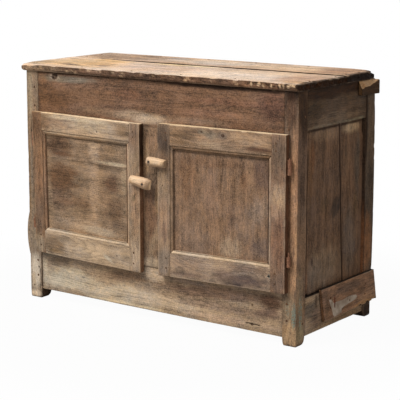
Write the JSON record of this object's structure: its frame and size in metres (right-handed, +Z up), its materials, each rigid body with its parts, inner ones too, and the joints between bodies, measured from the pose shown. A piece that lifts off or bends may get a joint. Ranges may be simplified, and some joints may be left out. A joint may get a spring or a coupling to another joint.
{
  "type": "two-door low cupboard",
  "caption": "Low rustic cupboard with two framed doors on lift-off hinges, held shut by wooden turn buttons, with a plank top and post feet.",
  "frame": {"origin": "on the floor, under the middle of the whole cupboard's bounding box", "axes": "+X to the viewer's right along the front, +Y from the front to the back, +Z up"},
  "size_m": [1.205, 0.569, 0.872],
  "materials": {
    "block_wood": "bare weathered tan wood",
    "button_wood": "bare whittled pale wood with grey end grain",
    "door_wood": "bare worn brown softwood with grey patches and pale worn edges",
    "frame_wood": "bare worn brown softwood with grey patches and pale worn edges",
    "inner_wood": "bare aged softwood, unfinished inner faces",
    "iron": "rusted forged iron, matte",
    "peg_wood": "dark bare wood, end grain",
    "repair_wood": "bare weathered board, with remains of torn paper",
    "side_wood": "bare dark weathered softwood",
    "top_wood": "bare scrubbed softwood, worn golden tan, with cracks and a rotted right end"
  },
  "bodies": {
    "carcass": {"back_board_1": "inner_wood", "back_board_2": "inner_wood", "back_board_3": "inner_wood", "back_board_4": "inner_wood", "back_bottom_rail": "inner_wood", "back_top_rail": "inner_wood", "button_nails": "iron", "case_nails": "iron", "centre_stile": "frame_wood", "floor_front_board": "inner_wood", "floor_rear_board": "inner_wood", "frame_pegs": "peg_wood", "front_bottom_rail": "frame_wood", "front_left_post": "frame_wood", "front_right_post": "frame_wood", "front_top_rail": "frame_wood", "hinge_pins": "iron", "left_floor_bearer": "inner_wood", "left_post_hinge_leaves": "iron", "left_repair_slab": "repair_wood", "left_shelf_bearer": "inner_wood", "left_side_bottom_rail": "side_wood", "left_side_front_board": "side_wood", "left_side_rear_board": "side_wood", "left_side_top_rail": "side_wood", "rear_left_post": "frame_wood", "rear_right_post": "frame_wood", "right_floor_bearer": "inner_wood", "right_post_hinge_leaves": "iron", "right_repair_board": "repair_wood", "right_shelf_bearer": "inner_wood", "right_side_bottom_rail": "side_wood", "right_side_front_board": "side_wood", "right_side_rear_board": "side_wood", "right_side_top_rail": "side_wood", "shelf_front_board": "inner_wood", "shelf_rear_board": "inner_wood", "side_block": "block_wood", "top_front_board": "top_wood", "top_nails": "iron", "top_rear_board": "top_wood"},
    "left_door": {"left_door_bottom_rail": "door_wood", "left_door_hinge_leaves": "iron", "left_door_hinge_nails": "iron", "left_door_hinge_stile": "door_wood", "left_door_lock_stile": "door_wood", "left_door_panel_lower_board": "door_wood", "left_door_panel_upper_board": "door_wood", "left_door_pegs": "peg_wood", "left_door_top_rail": "door_wood"},
    "right_door": {"right_door_bottom_rail": "door_wood", "right_door_hinge_leaves": "iron", "right_door_hinge_nails": "iron", "right_door_hinge_stile": "door_wood", "right_door_lock_stile": "door_wood", "right_door_panel": "door_wood", "right_door_pegs": "peg_wood", "right_door_top_rail": "door_wood"},
    "upper_button": {"upper_turn_button": "button_wood"},
    "lower_button": {"lower_turn_button": "button_wood"}
  },
  "joints": [
    {"name": "left_door_hinge", "type": "hinge", "parent": "carcass", "child": "left_door", "pos_m": [-0.545, -0.2508, 0.27], "axis": [0, 0, -1], "range_deg": [0, 165]},
    {"name": "right_door_hinge", "type": "hinge", "parent": "carcass", "child": "right_door", "pos_m": [0.549, -0.2508, 0.27], "axis": [0, 0, 1], "range_deg": [0, 165]},
    {"name": "upper_button_turn", "type": "hinge", "parent": "carcass", "child": "upper_button", "pos_m": [0.0045, -0.2845, 0.569], "axis": [0, -1, 0], "range_deg": [0, 90]},
    {"name": "lower_button_turn", "type": "hinge", "parent": "carcass", "child": "lower_button", "pos_m": [-0.0235, -0.2845, 0.489], "axis": [0, -1, 0], "range_deg": [0, 100]}
  ]
}
